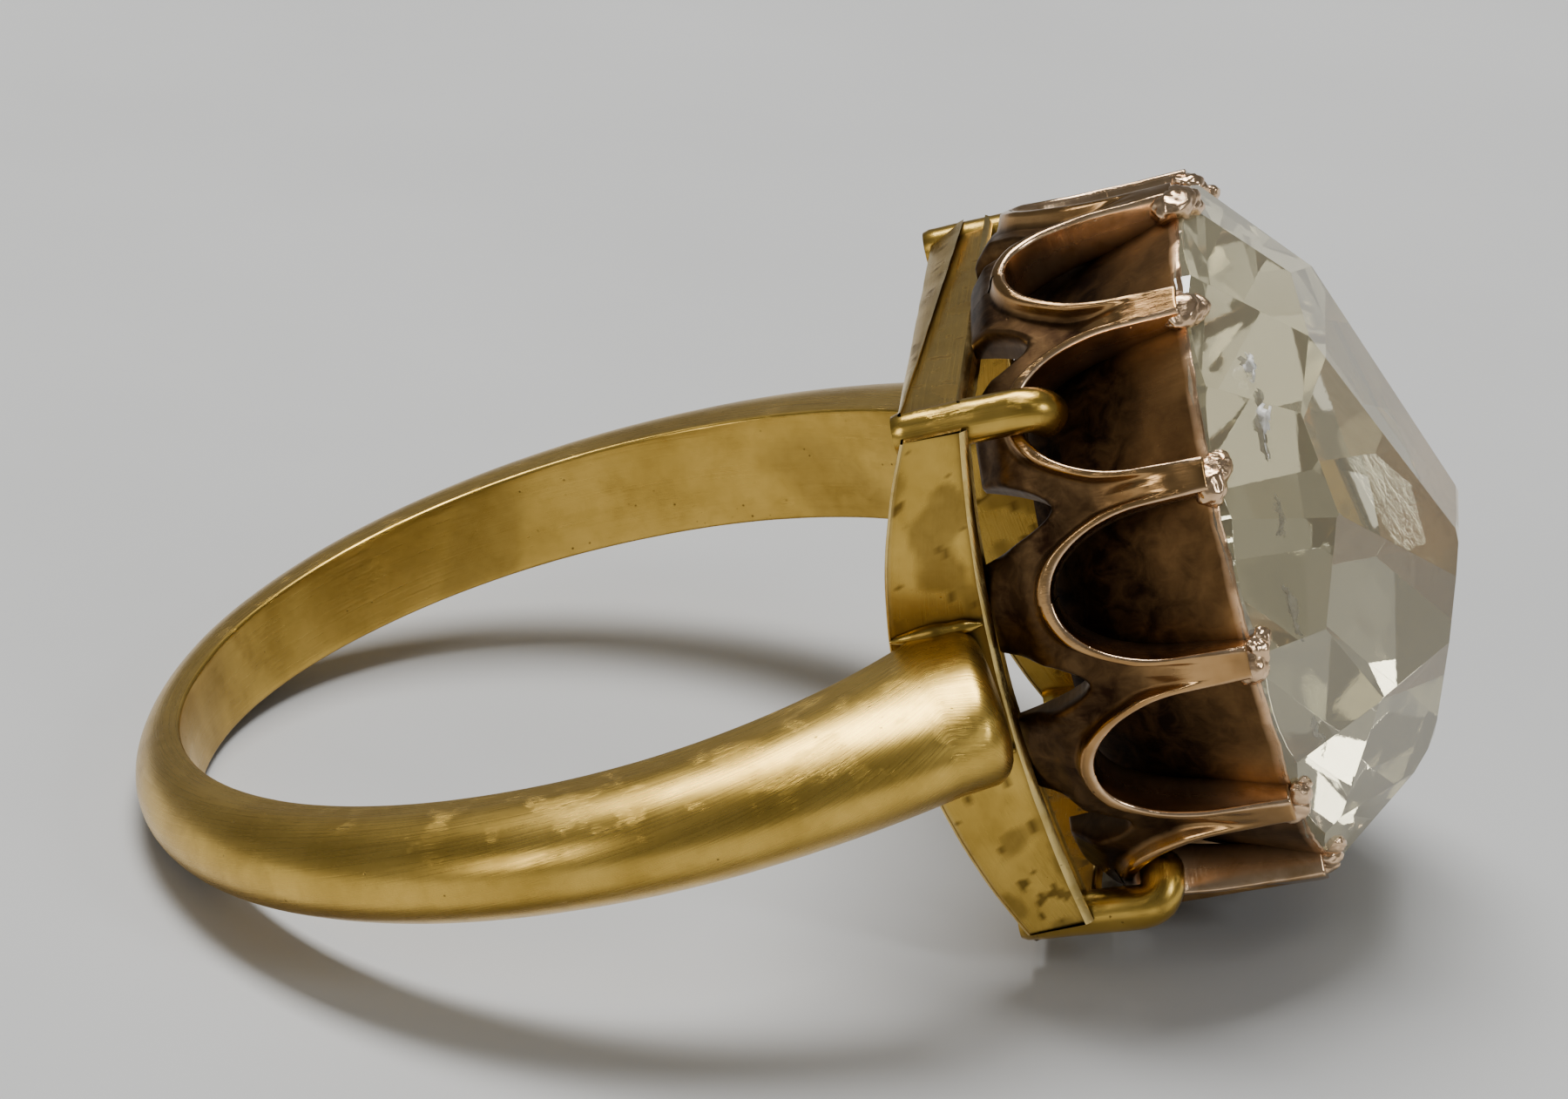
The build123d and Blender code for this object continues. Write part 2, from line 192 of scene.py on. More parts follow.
def gold(name, bright, deep, patina, edge, polish_roughness, satin_roughness):
    """Worn gold alloy: colour drifts between bright and deep, patina and painted shade from ambient
    occlusion gather in the recesses, edges worn by rubbing take a paler colour that is partly a painted
    highlight, satin lines follow the piece, and scratches and pits break the surface."""
    material, tree = node_tree(name)
    place = add_node(tree, "ShaderNodeTexCoord").outputs["Object"]
    scaled = add_node(tree, "ShaderNodeVectorMath", operation="SCALE")
    link(tree, place, scaled.inputs[0])
    scaled.inputs["Scale"].default_value = 1 / MM
    place = scaled.outputs[0]
    flow = add_node(tree, "ShaderNodeAttribute", attribute_name="flow").outputs["Vector"]
    shade = add_node(tree, "ShaderNodeAttribute", attribute_name="shade").outputs["Color"]
    parts = add_node(tree, "ShaderNodeSeparateColor")
    link(tree, shade, parts.inputs[0])
    # the third channel mixes towards the paler edge colour: rubbed wear and a painted highlight
    polish, darkening, worn = parts.outputs

    def grain(vector, scale, detail, stretch=None, roughness=0.6, distortion=0.0):
        texture = add_node(
            tree, "ShaderNodeTexNoise", Scale=scale, Detail=detail, Roughness=roughness,
            Distortion=distortion,
        )
        if stretch:
            mapping = add_node(tree, "ShaderNodeMapping", Scale=stretch)
            link(tree, vector, mapping.inputs["Vector"])
            vector = mapping.outputs[0]
        link(tree, vector, texture.inputs["Vector"])
        return texture.outputs["Fac"]

    def plus(first, second, clamp=False):
        return math_node(tree, "ADD", first, second, clamp)

    def minus(first, second):
        return math_node(tree, "SUBTRACT", first, second)

    def times(first, second, clamp=False):
        return math_node(tree, "MULTIPLY", first, second, clamp)

    def larger(first, second, clamp=False):
        return math_node(tree, "MAXIMUM", first, second, clamp)

    drift = grain(place, 0.55, 4)
    cloud = grain(place, 2.3, 6, distortion=0.6)
    satin = grain(flow, 1.0, 3, stretch=(0.35, 22.0, 1.0))
    hair = grain(flow, 1.0, 2, stretch=(1.0, 75.0, 1.0))
    # crossing scratches: thin ridges of three stretched noises
    lines = []
    for angle, stretch, seed in (
        (0.35, (1.1, 30.0, 1.0), 3.0), (-0.6, (1.4, 38.0, 1.0), 11.0), (1.3, (1.0, 24.0, 1.0), 23.0)
    ):
        mapping = add_node(
            tree, "ShaderNodeMapping", Rotation=(0, 0, angle), Location=(seed, seed, 0), Scale=stretch
        )
        link(tree, flow, mapping.inputs["Vector"])
        line = grain(mapping.outputs[0], 1.0, 1.5)
        away = math_node(tree, "ABSOLUTE", minus(line, 0.5))
        lines.append(ramp(tree, away, 0.0, 0.006, 1.0, 0.0))
    gate = ramp(tree, grain(place, 1.1, 3), 0.50, 0.66)
    scratches = times(larger(lines[0], larger(lines[1], lines[2])), gate)
    cells = add_node(tree, "ShaderNodeTexVoronoi", Scale=3.4, Randomness=1.0)
    link(tree, place, cells.inputs["Vector"])
    pits = ramp(tree, cells.outputs["Distance"], 0.03, 0.11, 1.0, 0.0)
    pits = times(pits, ramp(tree, grain(place, 0.8, 2), 0.52, 0.60))
    # ambient occlusion darkens the recesses towards the patina colour: partly patina, partly painted shade
    crevice = add_node(tree, "ShaderNodeAmbientOcclusion", Distance=0.55 * MM, samples=8)
    recess_patina_and_shade = ramp(tree, crevice.outputs["AO"], 0.35, 0.92, 1.0, 0.0)

    colour = mix_colour(tree, ramp(tree, drift, 0.35, 0.68), bright, deep)
    colour = mix_colour(tree, times(ramp(tree, cloud, 0.5, 0.72), 0.35), colour, deep)
    dirt_and_shade = times(recess_patina_and_shade, 0.75)
    dirt_and_shade = larger(dirt_and_shade, times(darkening, ramp(tree, cloud, 0.30, 0.62, 0.84, 1.0)))
    dirt_and_shade = larger(dirt_and_shade, times(pits, 0.8))
    dirt_and_shade = larger(dirt_and_shade, times(scratches, 0.05), clamp=True)
    # the patina colour covers stains, pits and scratches, and the painted shade in the recesses
    colour = mix_colour(tree, dirt_and_shade, colour, patina)
    # edges rubbed bright where hands and cloths reach, and paler still as a painted highlight
    paleness_and_highlight = times(worn, ramp(tree, cloud, 0.30, 0.55, 0.35, 1.0), clamp=True)
    colour = mix_colour(tree, paleness_and_highlight, colour, edge)

    rough = plus(satin_roughness, times(minus(satin, 0.5), 0.22))
    rough = plus(rough, times(minus(cloud, 0.5), 0.07))
    rough = plus(times(rough, minus(1.0, polish)), times(polish, polish_roughness))
    rough = plus(rough, times(dirt_and_shade, 0.22), clamp=True)

    height = times(satin, 0.42)
    height = plus(height, times(hair, 0.16))
    height = plus(height, times(cloud, 0.07))
    height = minus(height, times(scratches, 0.25))
    height = minus(height, times(pits, 1.2))
    bump = add_node(tree, "ShaderNodeBump", Strength=0.30, Distance=0.022 * MM)
    link(tree, height, bump.inputs["Height"])

    shader = add_node(tree, "ShaderNodeBsdfPrincipled", Metallic=1.0)
    link(tree, colour, shader.inputs["Base Color"])
    link(tree, rough, shader.inputs["Roughness"])
    link(tree, bump.outputs[0], shader.inputs["Normal"])
    output = add_node(tree, "ShaderNodeOutputMaterial")
    link(tree, shader.outputs[0], output.inputs["Surface"])
    return material


# each edge colour is paler than its gold: rubbed metal and a painted highlight
yellow = gold(
    "worn_yellow_gold",
    bright=(0.70, 0.46, 0.105), deep=(0.50, 0.315, 0.06), patina=(0.085, 0.045, 0.012),
    edge=(0.90, 0.70, 0.30), polish_roughness=0.13, satin_roughness=0.31,
)
rose = gold(
    "worn_rose_gold",
    bright=(0.62, 0.375, 0.165), deep=(0.42, 0.235, 0.09), patina=(0.026, 0.012, 0.006),
    edge=(0.88, 0.62, 0.40), polish_roughness=0.12, satin_roughness=0.30,
)
walls = gold(
    "patinated_copper_gold",
    bright=(0.50, 0.27, 0.10), deep=(0.30, 0.155, 0.055), patina=(0.014, 0.007, 0.004),
    edge=(0.85, 0.56, 0.34), polish_roughness=0.18, satin_roughness=0.38,
)


def stone_material():
    material, tree = node_tree("old_cut_stone")
    place = add_node(tree, "ShaderNodeTexCoord").outputs["Object"]
    tint = add_node(tree, "ShaderNodeTexNoise", Scale=180.0, Detail=3.0)
    link(tree, place, tint.inputs["Vector"])
    share = ramp(tree, tint.outputs["Fac"], 0.35, 0.65)
    colour = mix_colour(tree, share, (0.99, 0.975, 0.92), (0.97, 0.94, 0.83))
    scuffs = add_node(tree, "ShaderNodeTexNoise", Scale=900.0, Detail=6.0, Roughness=0.7)
    link(tree, place, scuffs.inputs["Vector"])
    bump = add_node(tree, "ShaderNodeBump", Strength=0.06, Distance=0.02 * MM)
    link(tree, scuffs.outputs["Fac"], bump.inputs["Height"])
    shader = add_node(
        tree, "ShaderNodeBsdfPrincipled", **{"Transmission Weight": 1.0, "IOR": 2.1, "Roughness": 0.012}
    )
    link(tree, colour, shader.inputs["Base Color"])
    link(tree, bump.outputs[0], shader.inputs["Normal"])
    absorb = add_node(tree, "ShaderNodeVolumeAbsorption", Color=(1.0, 0.93, 0.58, 1.0), Density=60.0)
    # a trace of milkiness lifts the darkest reflections inside
    milk = add_node(tree, "ShaderNodeBsdfDiffuse", Color=(1.0, 0.91, 0.62, 1.0))
    mixed = tree.nodes.new("ShaderNodeMixShader")
    mixed.inputs[0].default_value = 0.11
    link(tree, shader.outputs[0], mixed.inputs[1])
    link(tree, milk.outputs[0], mixed.inputs[2])
    output = add_node(tree, "ShaderNodeOutputMaterial")
    link(tree, mixed.outputs[0], output.inputs["Surface"])
    link(tree, absorb.outputs[0], output.inputs["Volume"])
    return material


def veil_material():
    """The pale feathers inside the stone: thin, milky and half see-through."""
    material, tree = node_tree("stone_feather")
    place = add_node(tree, "ShaderNodeTexCoord").outputs["Object"]
    patches = add_node(tree, "ShaderNodeTexNoise", Scale=2600.0, Detail=5.0)
    link(tree, place, patches.inputs["Vector"])
    cover = ramp(tree, patches.outputs["Fac"], 0.38, 0.56, 0.0, 0.9)
    pale = add_node(tree, "ShaderNodeBsdfPrincipled", Roughness=0.3)
    pale.inputs["Base Color"].default_value = (0.92, 0.90, 0.84, 1.0)
    clear = add_node(tree, "ShaderNodeBsdfTransparent")
    mixed = tree.nodes.new("ShaderNodeMixShader")
    link(tree, cover, mixed.inputs[0])
    link(tree, clear.outputs[0], mixed.inputs[1])
    link(tree, pale.outputs[0], mixed.inputs[2])
    output = add_node(tree, "ShaderNodeOutputMaterial")
    link(tree, mixed.outputs[0], output.inputs["Surface"])
    return material


# -------- shank
FINGER_RADIUS = 8.5
bar_outer_y = -box_mm("side_bar_front")[0].y
# angle round from the back, distance from the centre, section's own direction, half width, thickness
STATIONS = (
    (0, 8.5, 0, 0.77, 0.95),
    (25, 8.5, 25, 0.8525, 1.17),
    (50, 8.5, 50, 0.935, 1.50),
    (75, 8.5, 75, 1.0175, 1.88),
    (100, 8.5, 100, 1.10, 2.30),
    (126.0, 8.5, 105, 1.22, 2.60),
    (143.6, 9.44, 102, 1.32, 2.70),
)
SHANK_STEPS = 150
RIM_EDGE = 0.07
END_ROUNDING = 0.55
ARM_LENGTH = 19.0  # roughly, from the back of the band to an arm's end


def station_value(share, column):
    """A column of STATIONS at a share of the way from the back to an arm's end, without corners."""
    total = 0.0
    weights = 0.0
    spread = 0.14
    for k in range(-6, 7):
        offset = k / 6 * spread
        weight = 1 + math.cos(math.pi * k / 7)
        place = share + offset
        mirrored = place < 0 and column in (0, 2)
        place = abs(place)
        spot = place * (len(STATIONS) - 1)
        index = min(int(spot), len(STATIONS) - 2)
        part = spot - index
        value = STATIONS[index][column] * (1 - part) + STATIONS[index + 1][column] * part
        total += weight * (-value if mirrored else value)
        weights += weight
    return total / weights


def shank_ring(share, side):
    """The D section at a share of the way from the back to the arm end on that side."""
    around, reach, facing, half, thick = (station_value(share, c) for c in range(5))
    turn, look = math.radians(around), math.radians(facing)
    base = Vector((-reach * math.cos(turn), reach * math.sin(turn)))
    way = Vector((-math.cos(look), math.sin(look)))
    # where the finger hole, and the flat against the side bar, end the section inside
    along = base.dot(way)
    inside = -along + math.sqrt(max(along * along - base.length_squared + FINGER_RADIUS**2, 0))
    if base.x > 0:
        inside = max(inside, (bar_outer_y - base.y) / way.y)
    left = (1 - share) * ARM_LENGTH
    shrink = 0.0
    if left < END_ROUNDING:
        shrink = END_ROUNDING - math.sqrt(END_ROUNDING**2 - (END_ROUNDING - left) ** 2)
    half -= shrink
    outer = thick - shrink
    wall = inside + 0.3 * (outer - inside)
    ring = []
    for k in range(13):
        ring.append((inside, -half + RIM_EDGE + (half - RIM_EDGE) * 2 * k / 12))
    for k in range(1, 5):
        bend = math.radians(90 * k / 5)
        ring.append((inside + RIM_EDGE * (1 - math.cos(bend)), half - RIM_EDGE * (1 - math.sin(bend))))
    for k in range(4):
        ring.append((inside + RIM_EDGE + (wall - inside - RIM_EDGE) * k / 4, half))
    for k in range(33):
        bend = math.pi * k / 32
        ring.append((wall + (outer - wall) * math.sin(bend), half * math.cos(bend)))
    for k in range(3, -1, -1):
        ring.append((inside + RIM_EDGE + (wall - inside - RIM_EDGE) * k / 4, -half))
    for k in range(4, 0, -1):
        bend = math.radians(90 * k / 5)
        ring.append((inside + RIM_EDGE * (1 - math.cos(bend)), -half + RIM_EDGE * (1 - math.sin(bend))))
    points = []
    for out, z in ring:
        spot = base + way * out
        points.append(Vector((spot.x, side * spot.y, z)))
    return points


def make_shank():
    rings = []
    for step in range(-SHANK_STEPS, SHANK_STEPS + 1):
        share = abs(step) / SHANK_STEPS
        # crowd the last rings towards the rounded end
        share = 1 - (1 - share) ** 1.15
        rings.append(shank_ring(min(share, 0.99995), -1 if step < 0 else 1))
    flow, shades, count = [], [], len(rings[0])
    travelled = 0.0
    for number, ring in enumerate(rings):
        if number:
            travelled += (ring[36] - rings[number - 1][36]).length
        across = 0.0
        for k, point in enumerate(ring):
            if k:
                across += (point - ring[k - 1]).length
            flow.append((travelled, across))
            inner = 1.0 if k < 13 else 0.0
            darkening = 0.25 * inner * smooth_step(0.05, 0.35, wobble(point, 0.45, 4.0))
            shades.append((0.15 * (1 - inner), darkening, 0.0))
    # dents and polishing waves, gentler than the section's own shape
    for ring in rings:
        centre = sum(ring, Vector()) / count
        for k, point in enumerate(ring):
            push = 0.010 * wobble(point, 0.35, 1.0) + 0.002 * wobble(point, 1.4, 2.0)
            dent = smooth_step(0.46, 0.7, wobble(point, 0.9, 9.0)) * -0.003
            if k >= 13:
                point += (point - centre).normalized() * (push + dent)
    return sweep("shank_band", rings, shades, flow)


finish_piece(make_shank(), yellow, "yellow_gold", "shank")


# -------- gallery frame
CORNER_POINTS, FLAT_PARTS = 5, 14
BAR_EDGE = 0.05


def bar_section(low_a, high_a, low_b, high_b, edge, chamfer=(0, 0, 0, 0)):
    """A rectangle's outline with rounded corners; a corner's chamfer widens it.
    Corners: (low a, low b), (high a, low b), (high a, high b), (low a, high b)."""
    outline = []
    corners = ((low_a, low_b), (high_a, low_b), (high_a, high_b), (low_a, high_b))
    for number, (a, b) in enumerate(corners):
        into_a = 1 if a == low_a else -1
        into_b = 1 if b == low_b else -1
        cut_a, cut_b = chamfer[number] if chamfer[number] else (0, 0)
        turn = []
        for k in range(CORNER_POINTS):
            share = k / (CORNER_POINTS - 1)
            bend = math.radians(90 * share)
            turn.append((
                a + into_a * (edge * (1 - math.sin(bend)) + cut_a * (1 - share)),
                b + into_b * (edge * (1 - math.cos(bend)) + cut_b * share),
            ))
        # each corner's arc runs against the outline, so a bar's edges fold over themselves
        outline += turn if into_a == into_b else turn[::-1]
    dense = []
    for k, point in enumerate(outline):
        after = outline[(k + 1) % len(outline)]
        dense.append(point)
        if k % CORNER_POINTS == CORNER_POINTS - 1:
            dense += [
                tuple(p + (q - p) * i / FLAT_PARTS for p, q in zip(point, after))
                for i in range(1, FLAT_PARTS)
            ]
    return dense


def bar_object(name, rings, seed):
    flow, shades, travelled = [], [], 0.0
    for number, ring in enumerate(rings):
        if number:
            travelled += (ring[0] - rings[number - 1][0]).length
        across = 0.0
        for k, point in enumerate(ring):
            if k:
                across += (point - ring[k - 1]).length
            flow.append((travelled + seed * 7, across + seed * 3))
            darkening = 0.50 * smooth_step(0.22, 0.42, wobble(point, 1.3, seed))
            darkening = max(darkening, 0.8 * smooth_step(0.44, 0.5, wobble(point, 3.6, seed + 4)))
            shades.append((0.35, darkening, 0.0))
        # the sharp corners take the paler edge colour: rubbed wear and a painted highlight
        for k, point in enumerate(ring):
            bend = (ring[k - 1] - point).angle(point - ring[(k + 1) % len(ring)], 0)
            if bend > 0.12:
                shades[len(shades) - len(ring) + k] = (0.7, 0.1, 0.6)
        centre = sum(ring, Vector()) / len(ring)
        for point in ring:
            point += (point - centre).normalized() * 0.010 * wobble(point, 1.6, seed + 2)
    return sweep(name, rings, shades, flow)


front_low, front_high = box_mm("side_bar_front")
upper_low, upper_high = box_mm("end_bar_upper")
span = front_high.z
FRAME_TOP = upper_high.x
FRAME_BASE = upper_low.x
side_drop = FRAME_BASE - front_low.x
SIDE_DIP = 0.45
BAR_STEPS = 150

for label, side in (("front", -1), ("back", 1)):
    low, high = box_mm("side_bar_" + label)
    rings = []
    for step in range(BAR_STEPS + 1):
        z = -span + 2 * span * step / BAR_STEPS
        bow = 1 - (z / span) ** 2
        bottom, top = FRAME_BASE - side_drop * bow, FRAME_TOP - SIDE_DIP * bow
        outer = high.y if side > 0 else low.y
        inner = low.y if side > 0 else high.y
        edge_y = (0.10, 0.07)
        chamfer = (0, edge_y, 0, 0) if side < 0 else (0, 0, edge_y, 0)
        section = bar_section(bottom, top, min(outer, inner), max(outer, inner), BAR_EDGE, chamfer)
        rings.append([Vector((a, b, z)) for a, b in section])
    obj = bar_object("frame_side_" + label, rings, 2.0 + side)
    finish_piece(obj, yellow, "yellow_gold", "side_bar_" + label)

for label, side in (("upper", 1), ("lower", -1)):
    low, high = box_mm("end_bar_" + label)
    rings = []
    for step in range(BAR_STEPS + 1):
        y = -span + 2 * span * step / BAR_STEPS
        far = (y + span) / (2 * span)
        # a filed flat on the outer edge nearer the finger, wider towards the back
        filed = (0.02 + 0.62 * far, 0.01 + 0.20 * far) if side > 0 else 0
        top_edge = (0.09, 0.07)
        chamfer = (0, 0, top_edge, filed) if side > 0 else (0, top_edge, 0, 0)
        section = bar_section(low.x, high.x, low.z, high.z, BAR_EDGE, chamfer)
        rings.append([Vector((a, y, b)) for a, b in section])
    obj = bar_object("frame_end_" + label, rings, 7.0 + side)
    finish_piece(obj, yellow, "yellow_gold", "end_bar_" + label)


# -------- corner posts
def tube(name, path, radii, seed, material_shade=(0.5, 0.0, 0.0), sides=28):
    """A wire along a path, of the radius given at each point, a little uneven as hand work is."""
    rings, flow, shades = [], [], []
    travelled = 0.0
    frame_side = None
    for number, point in enumerate(path):
        ahead = path[min(number + 1, len(path) - 1)] - path[max(number - 1, 0)]
        ahead.normalize()
        if frame_side is None:
            frame_side = ahead.orthogonal().normalized()
        frame_side = (frame_side - ahead * frame_side.dot(ahead)).normalized()
        other = ahead.cross(frame_side)
        if number:
            travelled += (point - path[number - 1]).length
        ring = []
        for k in range(sides):
            turn = 2 * math.pi * k / sides
            away = frame_side * math.cos(turn) + other * math.sin(turn)
            spot = point + away * radii[number]
            spot += away * 0.014 * wobble(spot, 1.8, seed)
            ring.append(spot)
            flow.append((travelled + seed, radii[number] * turn + seed))
            darkening = material_shade[1] + 0.5 * smooth_step(0.3, 0.5, wobble(spot, 1.5, seed + 5))
            shades.append((material_shade[0], darkening, 0.0))
        rings.append(ring)
    return sweep(name, rings, shades, flow)


def rounded_path(corners, radii, steps=10):
    """Points along straight runs, with each corner rounded by a curve close to an arc of its radius."""
    path = [corners[0]]
    for k in range(1, len(corners) - 1):
        before = (corners[k - 1] - corners[k]).normalized()
        after = (corners[k + 1] - corners[k]).normalized()
        half = math.acos(max(-1, min(1, before.dot(after)))) / 2
        cut = radii[k - 1] / math.tan(half)
        start, end = corners[k] + before * cut, corners[k] + after * cut
        for i in range(steps + 1):
            t = i / steps
            path.append(start.lerp(corners[k], t).lerp(corners[k].lerp(end, t), t))
    path.append(corners[-1])
    dense = [path[0]]
    for point in path[1:]:
        gap = (point - dense[-1]).length
        parts = max(1, int(gap / 0.12))
        last = dense[-1]
        dense += [last.lerp(point, i / parts) for i in range(1, parts + 1)]
    return dense


CORNERS = (
    ("front_upper", -1, 1), ("front_lower", -1, -1), ("back_upper", 1, 1), ("back_lower", 1, -1)
)
POST_RADIUS = 0.42
POST_BEND = 0.5
TIP_STEPS = 7
for label, y_side, z_side in CORNERS:
    low, high = box_mm("post_" + label)
    base_x, hook_x = low.x, high.x - POST_RADIUS
    reach = abs(low.z if z_side < 0 else high.z) - POST_RADIUS
    diagonal = Vector((0, y_side, z_side)).normalized()
    stand = diagonal * reach * math.sqrt(2)
    tip = diagonal * min(abs(high.z), abs(low.z)) * math.sqrt(2)
    bow = 0.12 if z_side < 0 else -0.05
    corners = [
        Vector((base_x, 0, 0)) + stand * 0.985,
        Vector((hook_x, 0, 0)) + stand * (1 + bow * 0.2),
        Vector((hook_x + 0.05, 0, 0)) + stand * 0.93,
    ]
    path = rounded_path(corners, [POST_BEND])
    total = len(path)
    radii = []
    for number, point in enumerate(path):
        grow = 1.0
        near_start = (point - path[0]).length
        if near_start < 0.08:
            grow = 0.90 + 0.10 * math.sqrt(max(near_start, 0) / 0.08)
        radii.append(POST_RADIUS * grow * (1 + 0.02 * wobble(point, 1.0, 3.0)))
    # the round tip: shrinking rings past the last point
    way = (path[-1] - path[-2]).normalized()
    last = path[-1]
    for k in range(1, TIP_STEPS + 1):
        bend = math.radians(88 * k / TIP_STEPS)
        path.append(last + way * POST_RADIUS * math.sin(bend))
        radii.append(POST_RADIUS * math.cos(bend))
    obj = tube("corner_post_" + label, path, radii, 3.0 + y_side + 2 * z_side)
    finish_piece(obj, yellow, "yellow_gold", "post_" + label)


# solder drawn along the seams between each arm and its side bar
SEAM_STEPS = 40
ARM_HALF_WIDTH = 1.30
SEAM_START_X, SEAM_LENGTH, SEAM_RADIUS = 6.0, 1.75, 0.17
for label, y_side, z_side in CORNERS:
    path, radii = [], []
    for k in range(SEAM_STEPS + 1):
        share = k / SEAM_STEPS
        x = SEAM_START_X + SEAM_LENGTH * share
        spot = Vector((x, y_side * (bar_outer_y + 0.01), z_side * (ARM_HALF_WIDTH - 0.02)))
        path.append(spot)
        fade = math.sqrt(max(math.sin(math.pi * min(max(share, 0.02), 0.98)), 0))
        radii.append((SEAM_RADIUS + 0.05 * wobble(spot, 2.5, 13.0)) * fade)
    obj = tube("solder_" + label, path, radii, 21.0 + y_side + z_side, (0.7, 0.15, 0.0), 18)
    finish_piece(obj, yellow, "yellow_gold")


# -------- coronet
CLAWS = 12
STONE_X = 12.53
STONE_LEAN = math.radians(-0.8)
FLOOR_X = 9.2
BOW = 2.1
ARCADE_HALF = 1.42
GAP_TOP_X = 9.5
GAP_HALF = 0.82
WAIST_RADIUS = 6.8  # arc positions round the coronet are measured here
# (x, radius) of the coronet's outside, from its feet to the claws' ends
OUTER_PROFILE = (
    (7.0, 5.60), (8.3, 6.16), (8.75, 6.60), (9.3, 6.70), (11.0, 6.76), (12.75, 6.84), (14.0, 6.84),
)


def girdle_x(point_z):
    """Where the leaning girdle plane is at this height across the head."""
    return STONE_X + point_z * math.tan(STONE_LEAN)


def outer_radius(x):
    for (x0, r0), (x1, r1) in zip(OUTER_PROFILE, OUTER_PROFILE[1:]):
        if x <= x1:
            share = max(x - x0, 0) / (x1 - x0)
            part = smooth_step(0, 1, share) * 0.35 + share * 0.65
            return r0 + (r1 - r0) * part
    return OUTER_PROFILE[-1][1]


def inner_radius(x):
    return 5.45 + (x - 7.8) * (6.28 - 5.45) / (13.1 - 7.8)


def foot_x(angle, radius):
    """The frame's top under this foot: it dips along the side bars."""
    z = radius * math.sin(angle)
    if abs(z) < span:
        return FRAME_TOP - SIDE_DIP * (1 - (z / span) ** 2)
    return FRAME_TOP


def polyline_at(points, share):
    """The point a share of the way along a line of points."""
    lengths = [math.dist(a, b) for a, b in zip(points, points[1:])]
    target = share * sum(lengths)
    for (a, b), length in zip(zip(points, points[1:]), lengths):
        if target <= length or length == 0 and target <= 0:
            part = target / length if length else 0
            return tuple(p + (q - p) * part for p, q in zip(a, b))
        target -= length
    return points[-1]


ROWS = 84
# distances in from an arcade's edge, close together over the rounded lip
EDGE_STEPS = (
    0, 0.012, 0.03, 0.055, 0.085, 0.12, 0.16, 0.20, 0.24, 0.28, 0.32, 0.38, 0.46, 0.58, 0.74, 0.95, 1.2, 2.0,
)
HALF_STEP = math.pi / CLAWS
FOOT_SHARE, GAP_SHARE = 0.16, 0.5  # shares of the rows that end on the foot, and above it in the gap


def half_cell(claw, side):
    """Rows of (distance in, width, arc position, x) from an arcade's edge to the claw's middle or
    to the pointed gap between the feet. Arc positions are in millimetres at the coronet's waist."""
    centre = claw * 2 * HALF_STEP
    middle = WAIST_RADIUS * HALF_STEP  # arc position of the arcade's middle
    foot = foot_x(centre + side * HALF_STEP, 6.0)
    # the claw ends just short of the girdle, and its beads carry on
    tip = girdle_x(6.6 * math.sin(centre)) - 0.08
    uneven = 0.05 * noise.noise(Vector((claw * 1.9, side * 2.3, 0.7)))
    edge = [(middle, FLOOR_X + uneven)]
    for k in range(1, 25):
        bend = math.radians(90 - 90 * k / 24)
        edge.append((middle - ARCADE_HALF * math.cos(bend), FLOOR_X + uneven + BOW * (1 - math.sin(bend))))
    edge.append((middle - ARCADE_HALF - 0.03, tip))
    gap = []
    for k in range(13):
        part = k / 12
        gap.append((GAP_HALF * (1 - part) ** 0.62, foot + (GAP_TOP_X - foot) * part))
    rows = []
    for row in range(ROWS + 1):
        share = row / ROWS
        start = polyline_at(edge, share**0.92)
        if share < FOOT_SHARE:
            part = share / FOOT_SHARE
            end = (middle + (GAP_HALF - middle) * part, foot)
        elif share < GAP_SHARE:
            end = polyline_at(gap, (share - FOOT_SHARE) / (GAP_SHARE - FOOT_SHARE))
        else:
            end = (0.0, GAP_TOP_X + (tip - GAP_TOP_X) * (share - GAP_SHARE) / (1 - GAP_SHARE))
        width = math.dist(start, end)
        cells = []
        for number, step in enumerate(EDGE_STEPS):
            inward = min(step, width * number / (len(EDGE_STEPS) - 1))
            part = inward / width if width else 0
            if number == len(EDGE_STEPS) - 1:
                inward, part = width, 1.0
            cells.append((
                inward, width,
                start[0] + (end[0] - start[0]) * part, start[1] + (end[1] - start[1]) * part,
            ))
        rows.append((share, cells))
    return rows


